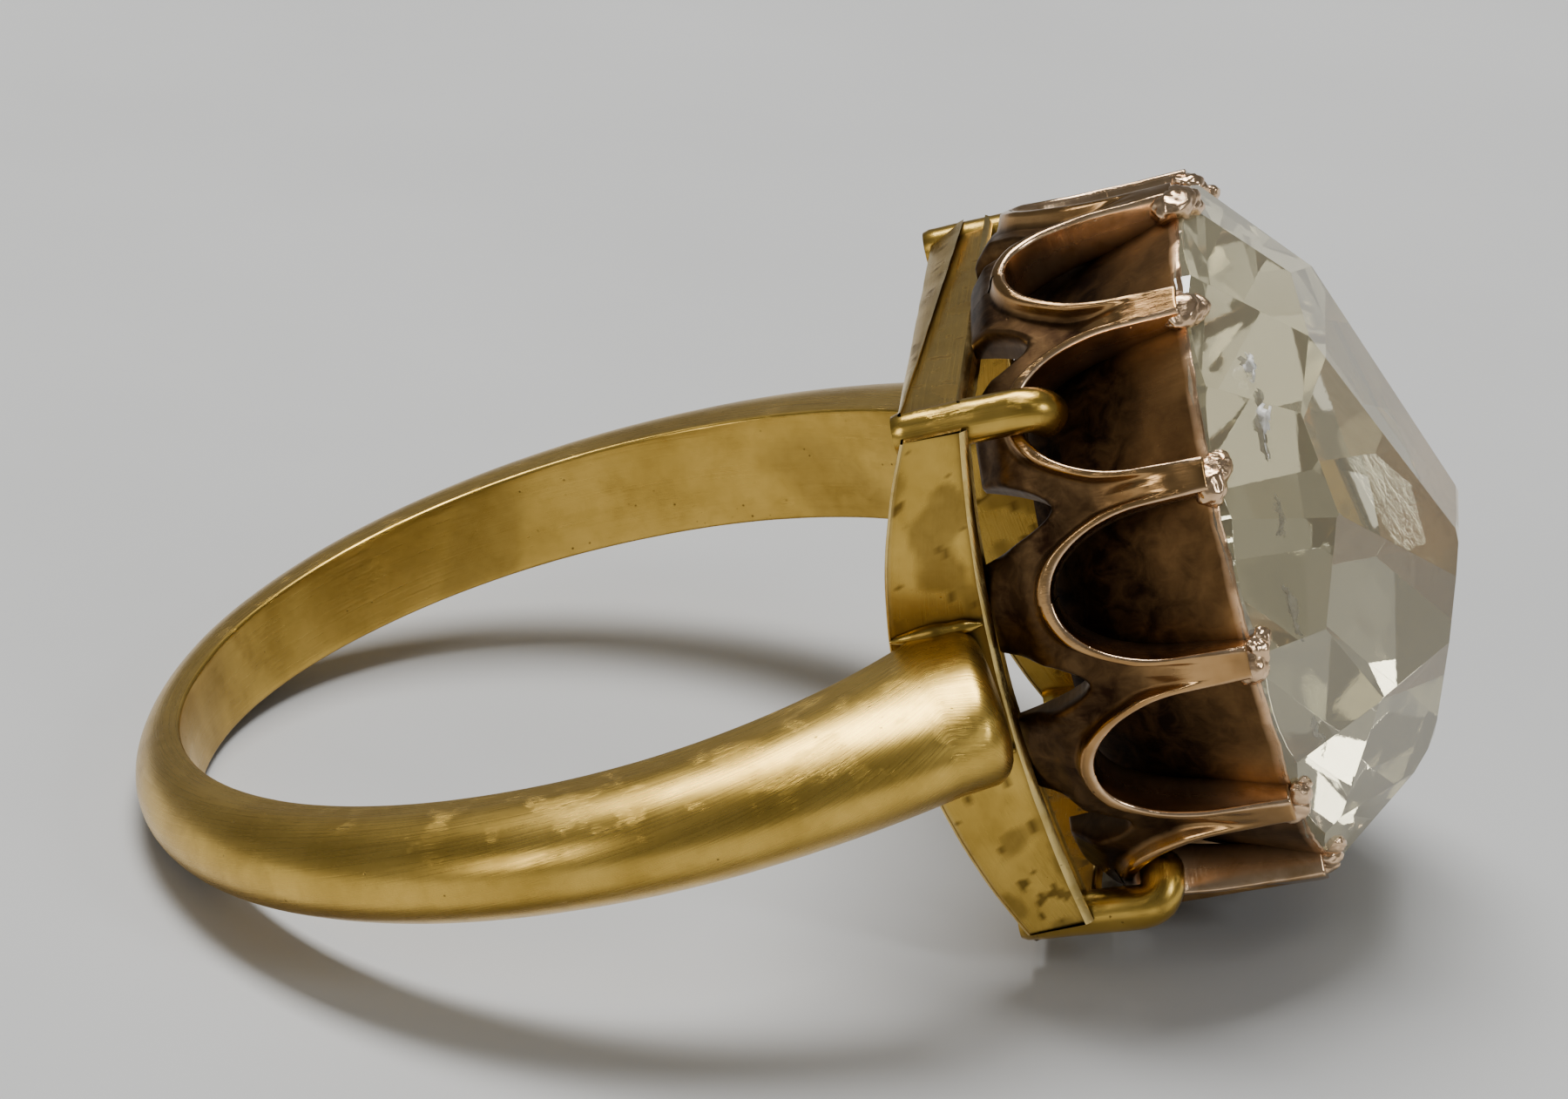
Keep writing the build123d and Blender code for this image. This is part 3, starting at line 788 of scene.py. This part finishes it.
def make_coronet():
    points, faces, shades, flow = [], [], [], []

    def put(angle, x, radius, shade, along, across):
        points.append(Vector((x, -radius * math.cos(angle), radius * math.sin(angle))))
        shades.append(shade)
        flow.append((along, across))
        return len(points) - 1

    columns = len(EDGE_STEPS)
    for claw in range(CLAWS):
        centre = claw * 2 * HALF_STEP
        for side in (-1, 1):
            rows = half_cell(claw, side)
            outer, inner = [], []
            for share, cells in rows:
                out_row, in_row = [], []
                for inward, width, arc, x in cells:
                    angle = centre + side * arc / WAIST_RADIUS
                    band = max(1 - smooth_step(0.24, 0.36, inward), 1 - smooth_step(0.42, 0.8, width))
                    radius = outer_radius(x)
                    # rounded lip along the arcade's edge
                    lip = 0.10
                    near = 1 - min(inward / lip, 1)
                    drop = lip * (1 - math.sqrt(1 - near * near))
                    # the wall between two bands is scooped back, and closes up along the claw
                    open_wall = smooth_step(0.42, 0.85, width) * smooth_step(0.22, 0.40, inward)
                    on_claw = smooth_step(10.2, 11.6, x)
                    scoop = 0.26 * open_wall * (1 - 0.75 * on_claw)
                    # soft edges beside the pointed gap and under the foot
                    away = width - inward
                    if share < GAP_SHARE and away < 0.08:
                        near = 1 - away / 0.08
                        drop += 0.07 * (1 - math.sqrt(1 - near * near))
                    # the band stands a little proud of the scooped wall
                    spot = (x, angle * WAIST_RADIUS, 0.0)
                    radius += 0.05 * band - drop - scoop + 0.012 * wobble(spot, 1.7, 6.0)
                    radius -= 0.10 * smooth_step(12.3, 13.2, x)
                    # darker on the scooped walls, most towards the feet, darkest on the feet themselves, and
                    # clean along the lip
                    foot_part = 1 - smooth_step(8.7, 9.15, x)
                    dark = max(
                        0.92 * open_wall * (1 - on_claw) * smooth_step(9.0, 10.9, 12.3 - x + 8.6),
                        0.95 * foot_part,
                    )
                    dark = min(dark + 0.25 * smooth_step(0.1, 0.5, wobble(spot, 1.1, 8.0)), 1.0)
                    polished = 0.75 * band * (1 - 0.6 * foot_part) + 0.25
                    # a paler lip along the arcade's edge: rubbed wear and a painted highlight
                    paleness_and_highlight = 0.8 * (1 - smooth_step(0.03, 0.13, inward)) * (1 - 0.8 * foot_part)
                    dark *= 1 - 0.8 * (1 - smooth_step(0.10, 0.26, inward)) * (1 - foot_part)
                    out_row.append(put(angle, x, radius, (polished, dark, paleness_and_highlight), x, arc + claw * 3))
                    back_edge = 0.05
                    near_back = 1 - min(inward / back_edge, 1)
                    rise = back_edge * (1 - math.sqrt(1 - near_back * near_back))
                    in_row.append(put(angle, x, inner_radius(x) + rise, (0.2, 0.85, 0.0), x, arc + claw * 3))
                outer.append(out_row)
                inner.append(in_row)
            for r in range(ROWS):
                for c in range(columns - 1):
                    faces.append((outer[r][c], outer[r][c + 1], outer[r + 1][c + 1], outer[r + 1][c]))
                    faces.append((inner[r][c], inner[r + 1][c], inner[r + 1][c + 1], inner[r][c + 1]))
                # the arcade's wall, and the gap's wall below the claw
                faces.append((outer[r][0], outer[r + 1][0], inner[r + 1][0], inner[r][0]))
                if (r + 1) / ROWS <= GAP_SHARE:
                    faces.append((outer[r][-1], inner[r][-1], inner[r + 1][-1], outer[r + 1][-1]))
            for c in range(columns - 1):
                faces.append((outer[-1][c], outer[-1][c + 1], inner[-1][c + 1], inner[-1][c]))
    obj = make_object("claw_coronet", points, faces, shades, flow)
    # half cells are uneven, so most points at an arcade's middle lie too far apart to be welded here
    work = bmesh.new()
    work.from_mesh(obj.data)
    bmesh.ops.remove_doubles(work, verts=work.verts, dist=0.0015 * MM)
    bmesh.ops.recalc_face_normals(work, faces=work.faces)
    work.to_mesh(obj.data)
    work.free()
    return obj


def bead(centre, radii, seed, turn):
    """A worn claw tip: a lump with small flats and dents."""
    work = bmesh.new()
    bmesh.ops.create_icosphere(work, subdivisions=4, radius=1.0)
    spots, shades = [], []
    for vert in work.verts:
        way = vert.co.copy()
        lumps = noise.noise(way * 1.3 + Vector((seed, 0, seed)))
        dents = noise.noise(way * 3.1 + Vector((0, seed, 2)))
        rough = 1 + 0.20 * lumps + 0.10 * dents
        local = Vector((way.x * radii[0], way.y * radii[1], way.z * radii[2])) * rough
        # local axes: x along the head, y round it, z outwards
        out = Vector((0, -math.cos(turn), math.sin(turn)))
        around = Vector((0, math.sin(turn), math.cos(turn)))
        vert.co = centre + Vector((1, 0, 0)) * local.x + around * local.y + out * local.z
        spots.append(vert.co.copy())
        # the tips are polished and mixed towards the paler edge colour: rubbed wear and a painted highlight
        shades.append((1.0, 0.0, 0.9))
    faces = [tuple(v.index for v in face.verts) for face in work.faces]
    work.free()
    return spots, faces, shades


def make_beads():
    points, faces, shades, flow = [], [], [], []
    for claw in range(CLAWS):
        angle = claw * 2 * HALF_STEP
        for lump in range(3):
            jitter = [noise.noise(Vector((claw * 3.1 + k, lump * 5.3, k * 1.7))) for k in range(5)]
            radius = 6.56 + 0.10 * jitter[0] - 0.10 * lump
            x = girdle_x(radius * math.sin(angle)) - 0.10 + 0.13 * lump + 0.10 * jitter[1]
            spot_angle = angle + (lump - 1) * 0.022 + 0.03 * jitter[2]
            centre = Vector((x, -radius * math.cos(spot_angle), radius * math.sin(spot_angle)))
            size = 0.34 - 0.05 * lump + 0.05 * jitter[3]
            # the claws nearest the top were pushed over hardest and stand proudest
            size *= 1 + 0.35 * smooth_step(0.8, 1.0, math.sin(angle))
            more, more_faces, more_shades = bead(
                centre, (size * 0.95, size * 1.05, size * 0.72), claw * 7.3 + lump * 2.9, spot_angle
            )
            start = len(points)
            points += more
            faces += [tuple(i + start for i in face) for face in more_faces]
            shades += more_shades
            flow += [(p.x, p.y + p.z) for p in more]
    return make_object("claw_tips", points, faces, shades, flow)


finish_piece(make_coronet(), rose, "rose_gold", "coronet")
finish_piece(make_beads(), rose, "rose_gold")


# -------- bearing collet
COLLET_STEPS = 240
WALL_POINTS = 19  # up the outside of the wall; the next two points are its lip
WALL_FOOT_X, WALL_FOOT_RADIUS, WALL_RIM_RADIUS = 9.0, 4.95, 6.47


def make_collet():
    rings, shades, flow = [], [], []
    for step in range(COLLET_STEPS):
        angle = 2 * math.pi * step / COLLET_STEPS
        ragged = 0.05 * wobble((math.cos(angle) * 9, math.sin(angle) * 9, 0), 0.9, 3.0)
        ragged += 0.025 * wobble((math.cos(angle) * 9, math.sin(angle) * 9, 0), 4.0, 5.0)
        rim_x = girdle_x(6.4 * math.sin(angle)) - 0.02 + ragged
        outer_line = []
        for k in range(WALL_POINTS):
            share = k / (WALL_POINTS - 1)
            x = WALL_FOOT_X + (rim_x - WALL_FOOT_X) * share
            radius = WALL_FOOT_RADIUS + (WALL_RIM_RADIUS - WALL_FOOT_RADIUS) * share**0.72
            outer_line.append((x, radius))
        profile = outer_line + [(rim_x + 0.035, 6.44), (rim_x + 0.01, 6.36)]
        for k in range(6):
            share = 1 - k / 5
            profile.append((9.05 + (rim_x - 9.2) * share, 4.60 + (6.10 - 4.60) * share))
        ring = []
        for k, (x, radius) in enumerate(profile):
            spot = Vector((x, -radius * math.cos(angle), radius * math.sin(angle)))
            if k < WALL_POINTS:
                radius += 0.03 * wobble(spot, 1.1, 2.0) + 0.015 * wobble(spot, 3.2, 4.0)
            ring.append(Vector((x, -radius * math.cos(angle), radius * math.sin(angle))))
            # the outside of the wall is darkest at its foot and lighter in patches towards the rim
            up = smooth_step(10.6, rim_x - 0.1, x)
            lighter_patches = smooth_step(-0.25, 0.45, wobble(spot, 0.8, 12.0))
            darkening = 1.0 - 0.75 * up * (0.35 + 0.65 * lighter_patches)
            lip = 1.0 if WALL_POINTS - 1 <= k <= WALL_POINTS + 1 else 0.0
            darkening = darkening * (1 - 0.9 * lip)
            if k > WALL_POINTS + 1:
                darkening = 0.12  # inside, under the stone, the wall stays clean
            # the lip takes the paler edge colour, rubbed wear and a painted highlight; inside, under the
            # stone, the gold is paler too
            paleness_and_highlight = 0.5 if k > WALL_POINTS + 1 else 0.9 * lip
            shades.append((0.2 + 0.7 * lip, max(min(darkening, 1.0), 0.0), paleness_and_highlight))
            flow.append((x, angle * 6.0))
        rings.append(ring)
    return sweep("bearing_wall", rings, shades, flow, closed=True)


finish_piece(make_collet(), walls, "rose_gold", "bearing_collet")


# -------- stone
GIRDLE_RADIUS = 6.45
MAINS = 8
MAIN_ANGLE, MAIN_ANGLE_SWING = 33.2, 13.2
MAIN_EDGE, MAIN_EDGE_SWING = 0.63, 0.45
BREAK_ANGLE, BREAK_ANGLE_SWING = 48, 6
TABLE_HEIGHT, TABLE_SLOPE, STAR_DEPTH = 3.91, 19.8, 0.08
PAVILION_ANGLE, LOWER_ANGLE, CULET_DEPTH = -31.5, -34, -3.8
stone_axis = Vector((math.cos(STONE_LEAN), 0, -math.sin(STONE_LEAN)))
stone_across = Vector((0, 1, 0))
stone_up = stone_axis.cross(stone_across)


def stone_point(a, b, height):
    return Vector((STONE_X, 0, 0)) + stone_across * a + stone_up * b + stone_axis * height


def stone_facets():
    """(azimuth, angle, radius, height) of every facet, as the lapidary's wheel would be set."""
    step = 360 / MAINS
    cuts = []

    def sine(azimuth):
        return math.sin(math.radians(azimuth))

    def main_angle(azimuth):
        return MAIN_ANGLE - MAIN_ANGLE_SWING * sine(azimuth)

    def main_edge(azimuth):
        return MAIN_EDGE + MAIN_EDGE_SWING * sine(azimuth)

    for n in range(2 * MAINS):
        azimuth = (n + 0.5) * step / 2
        cuts.append((azimuth, BREAK_ANGLE - BREAK_ANGLE_SWING * sine(azimuth), GIRDLE_RADIUS, 0.06))
    for n in range(MAINS):
        azimuth = n * step
        cuts.append((azimuth, main_angle(azimuth), GIRDLE_RADIUS, main_edge(azimuth)))
    for n in range(MAINS):
        azimuth = (n + 0.5) * step
        fall = math.tan(math.radians(main_angle(azimuth)))
        rise = math.tan(math.radians(TABLE_SLOPE)) * sine(azimuth)
        ridge = fall * math.cos(math.radians(180 / MAINS)) + rise
        radius = (main_edge(azimuth) + GIRDLE_RADIUS * fall - TABLE_HEIGHT) / ridge
        angle = (main_angle(azimuth) - math.degrees(math.atan(rise))) / 2
        cuts.append((azimuth, angle, radius, TABLE_HEIGHT + radius * rise - STAR_DEPTH))
    cuts.append((-90, TABLE_SLOPE, 0, TABLE_HEIGHT))
    for n in range(MAINS):
        cuts.append((n * step, PAVILION_ANGLE, GIRDLE_RADIUS, -0.18))
    for n in range(2 * MAINS):
        cuts.append(((n + 0.5) * step / 2, LOWER_ANGLE, GIRDLE_RADIUS, -0.06))
    cuts.append((0, -0.001, 0, CULET_DEPTH))
    return cuts


def make_stone():
    work = bmesh.new()
    ring_low, ring_high = [], []
    sides = 96
    for k in range(sides):
        turn = 2 * math.pi * k / sides
        a, b = GIRDLE_RADIUS * math.cos(turn), GIRDLE_RADIUS * math.sin(turn)
        ring_low.append(work.verts.new(stone_point(a, b, -5)))
        ring_high.append(work.verts.new(stone_point(a, b, 5)))
    work.faces.new(ring_low[::-1])
    work.faces.new(ring_high)
    for k in range(sides):
        after = (k + 1) % sides
        work.faces.new((ring_low[k], ring_low[after], ring_high[after], ring_high[k]))
    for azimuth, angle, radius, height in stone_facets():
        turn, slope = math.radians(azimuth), math.radians(abs(angle))
        up = 1 if angle > 0 else -1
        normal = (
            stone_across * math.sin(slope) * math.cos(turn)
            + stone_up * math.sin(slope) * math.sin(turn)
            + stone_axis * up * math.cos(slope)
        )
        point = stone_point(radius * math.cos(turn), radius * math.sin(turn), height)
        found = bmesh.ops.bisect_plane(
            work, geom=work.verts[:] + work.edges[:] + work.faces[:], dist=1e-6,
            plane_co=point, plane_no=normal, clear_outer=True,
        )
        edges = [e for e in found["geom_cut"] if isinstance(e, bmesh.types.BMEdge)]
        if edges:
            bmesh.ops.contextual_create(work, geom=edges)
    bmesh.ops.recalc_face_normals(work, faces=work.faces)
    for vert in work.verts:
        vert.co *= MM
    mesh = bpy.data.meshes.new("cut_stone")
    work.to_mesh(mesh)
    work.free()
    obj = bpy.data.objects.new("cut_stone", mesh)
    bpy.context.scene.collection.objects.link(obj)
    worn = obj.modifiers.new("worn_edges", "BEVEL")
    worn.width = 0.022 * MM
    worn.segments = 2
    worn.limit_method = "ANGLE"
    worn.angle_limit = math.radians(3)
    return obj


finish_piece(make_stone(), stone_material(), "stone", "stone")


def make_feathers():
    """Small crumpled healed cracks inside the stone, near the girdle under the crown."""
    points, faces = [], []
    side = 16
    # centre across, up and along the stone's axis; width; height; turn
    for number, (a, b, h, wide, tall, turn) in enumerate((
        (-4.2, 3.4, 0.85, 1.5, 1.0, 0.5), (-4.9, 1.9, 0.75, 1.2, 0.7, 1.4), (-5.3, 0.2, 0.55, 1.1, 0.6, 0.2),
        (-3.6, 4.4, 0.9, 1.0, 0.6, 2.2), (-5.0, -2.2, 0.35, 1.2, 0.5, 0.9), (4.4, 2.0, 0.7, 1.3, 0.7, 0.4),
        (1.5, -5.2, 0.2, 1.2, 0.5, 1.0),
    )):
        start = len(points)
        for i in range(side):
            for j in range(side):
                u, v = i / (side - 1) - 0.5, j / (side - 1) - 0.5
                along = wide * (u * math.cos(turn) - v * math.sin(turn) * 0.6)
                rise = tall * (u * math.sin(turn) + v * math.cos(turn))
                crumple = 0.22 * wobble((u * 3, v * 3, number), 1.0, 31.0)
                crumple += 0.08 * wobble((u * 9, v * 9, number), 1.0, 37.0)
                inwards = Vector((-a, -b)).normalized()
                points.append(stone_point(
                    a - inwards.y * along + inwards.x * (crumple - rise * 0.5),
                    b + inwards.x * along + inwards.y * (crumple - rise * 0.5),
                    h + rise * 0.55 + crumple * 0.4,
                ))
        for i in range(side - 1):
            for j in range(side - 1):
                u, v = i / (side - 1) - 0.5, j / (side - 1) - 0.5
                if math.hypot(u, v) + 0.22 * wobble((u * 4, v * 4, number), 1.0, 41.0) < 0.42:
                    a0 = start + i * side + j
                    faces.append((a0, a0 + 1, a0 + side + 1, a0 + side))
    used = sorted({index for face in faces for index in face})
    place = {old: new for new, old in enumerate(used)}
    obj = make_object(
        "stone_feathers", [points[i] for i in used], [tuple(place[i] for i in face) for face in faces]
    )
    skin = obj.modifiers.new("thickness", "SOLIDIFY")
    skin.thickness = 0.02 * MM
    return obj


finish_piece(make_feathers(), veil_material(), "stone")


# -------- floor, on the ring's own two contacts
def contact_line():
    """The supporting line under the ring as it lies, seen along Y: (point, downhill angle)."""
    dg = bpy.context.evaluated_depsgraph_get()
    spots = []
    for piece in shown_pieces():
        mesh = piece.evaluated_get(dg).to_mesh()
        for vert in mesh.vertices:
            spots.append((vert.co.x, vert.co.z))
        piece.evaluated_get(dg).to_mesh_clear()
    spots.sort()
    hull = []
    for spot in spots:
        while len(hull) > 1 and (
            (hull[-1][0] - hull[-2][0]) * (spot[1] - hull[-2][1])
            - (hull[-1][1] - hull[-2][1]) * (spot[0] - hull[-2][0])
        ) <= 0:
            hull.pop()
        hull.append(spot)
    left, right = max(zip(hull, hull[1:]), key=lambda pair: pair[1][0] - pair[0][0])
    return Vector((left[0], 0, left[1])), math.atan2(left[1] - right[1], right[0] - left[0])


contact, downhill = contact_line()
# a flat table that sweeps up all round into a wall, so no horizon shows from the side
FLAT_RADIUS, SWEEP_RADIUS, WALL_HEIGHT = 450, 400, 900  # millimetres
profile = [(FLAT_RADIUS, 0)]
for k in range(1, 25):
    bend = math.radians(90 * k / 24)
    profile.append((FLAT_RADIUS + SWEEP_RADIUS * math.sin(bend), SWEEP_RADIUS * (1 - math.cos(bend))))
profile.append((FLAT_RADIUS + SWEEP_RADIUS, WALL_HEIGHT))
ROUND_STEPS = 96
floor_points, floor_faces = [], [tuple(range(ROUND_STEPS))]
for radius, height in profile:
    for k in range(ROUND_STEPS):
        turn = 2 * math.pi * k / ROUND_STEPS
        floor_points.append((radius * math.cos(turn), radius * math.sin(turn), height))
for row in range(len(profile) - 1):
    for k in range(ROUND_STEPS):
        a, b = row * ROUND_STEPS + k, row * ROUND_STEPS + (k + 1) % ROUND_STEPS
        floor_faces.append((a, a + ROUND_STEPS, b + ROUND_STEPS, b))
floor = make_object("floor", floor_points, floor_faces)
floor.location = contact
floor.rotation_euler = (0, downhill, 0)
floor_material, tree = node_tree("pale_floor")
mottle = add_node(tree, "ShaderNodeTexNoise", Scale=60.0, Detail=5.0)
link(tree, add_node(tree, "ShaderNodeTexCoord").outputs["Object"], mottle.inputs["Vector"])
shader = add_node(tree, "ShaderNodeBsdfPrincipled", Roughness=0.55)
floor_colour = mix_colour(
    tree, ramp(tree, mottle.outputs["Fac"], 0.35, 0.65), (0.56, 0.56, 0.55), (0.60, 0.60, 0.59)
)
link(tree, floor_colour, shader.inputs["Base Color"])
link(tree, shader.outputs[0], add_node(tree, "ShaderNodeOutputMaterial").inputs["Surface"])
floor.data.materials.append(floor_material)


# -------- light
tilt = Matrix.Rotation(downhill, 4, "Y")
head = Vector((4.0, 0, -1.0)) * MM


def softbox(name, direction, distance, size, power, colour=(1, 1, 1)):
    data = bpy.data.lights.new(name, "AREA")
    data.shape = "RECTANGLE"
    data.size, data.size_y = size
    data.energy = power
    data.color = colour
    obj = bpy.data.objects.new(name, data)
    bpy.context.scene.collection.objects.link(obj)
    way = (tilt @ Vector(direction)).normalized()
    obj.location = head + way * distance
    obj.rotation_mode = "QUATERNION"
    obj.rotation_quaternion = way.to_track_quat("Z", "Y")


softbox("overhead", (-0.10, 0.30, 1.0), 0.45, (0.34, 0.16), 2.6)
softbox("front_left", (-0.9, -1.0, 0.7), 0.5, (0.10, 0.22), 0.35, (1.0, 0.98, 0.95))
softbox("right_front", (0.9, -0.5, 0.6), 0.5, (0.08, 0.14), 0.45, (0.93, 0.97, 1.0))

world = bpy.data.worlds.new("studio")
bpy.context.scene.world = world
world.use_nodes = True
world.node_tree.nodes["Background"].inputs["Color"].default_value = (0.60, 0.61, 0.62, 1.0)
world.node_tree.nodes["Background"].inputs["Strength"].default_value = 0.32


# -------- camera
AZIMUTH, ELEVATION, ROLL = 0.172, 0.357, -0.262
TARGET = Vector((3.578, 0, 1.353)) * MM
DISTANCE = 0.15
SENSOR_WIDTH, LENS = 36.0, 181.5
toward = Vector((
    math.sin(AZIMUTH) * math.cos(ELEVATION),
    -math.cos(AZIMUTH) * math.cos(ELEVATION),
    math.sin(ELEVATION),
))
right = (-toward).cross(Vector((0, 0, 1))).normalized()
above = right.cross(-toward)
cam_x = right * math.cos(ROLL) + above * math.sin(ROLL)
cam_y = -right * math.sin(ROLL) + above * math.cos(ROLL)
camera = bpy.data.objects.new("camera", bpy.data.cameras.new("camera"))
bpy.context.scene.collection.objects.link(camera)
camera.data.sensor_width = SENSOR_WIDTH
camera.data.lens = LENS
camera.data.clip_start, camera.data.clip_end = 0.005, 10.0
place = Matrix((cam_x, cam_y, toward)).transposed().to_4x4()
place.translation = TARGET + toward * DISTANCE
camera.matrix_world = place
bpy.context.scene.camera = camera
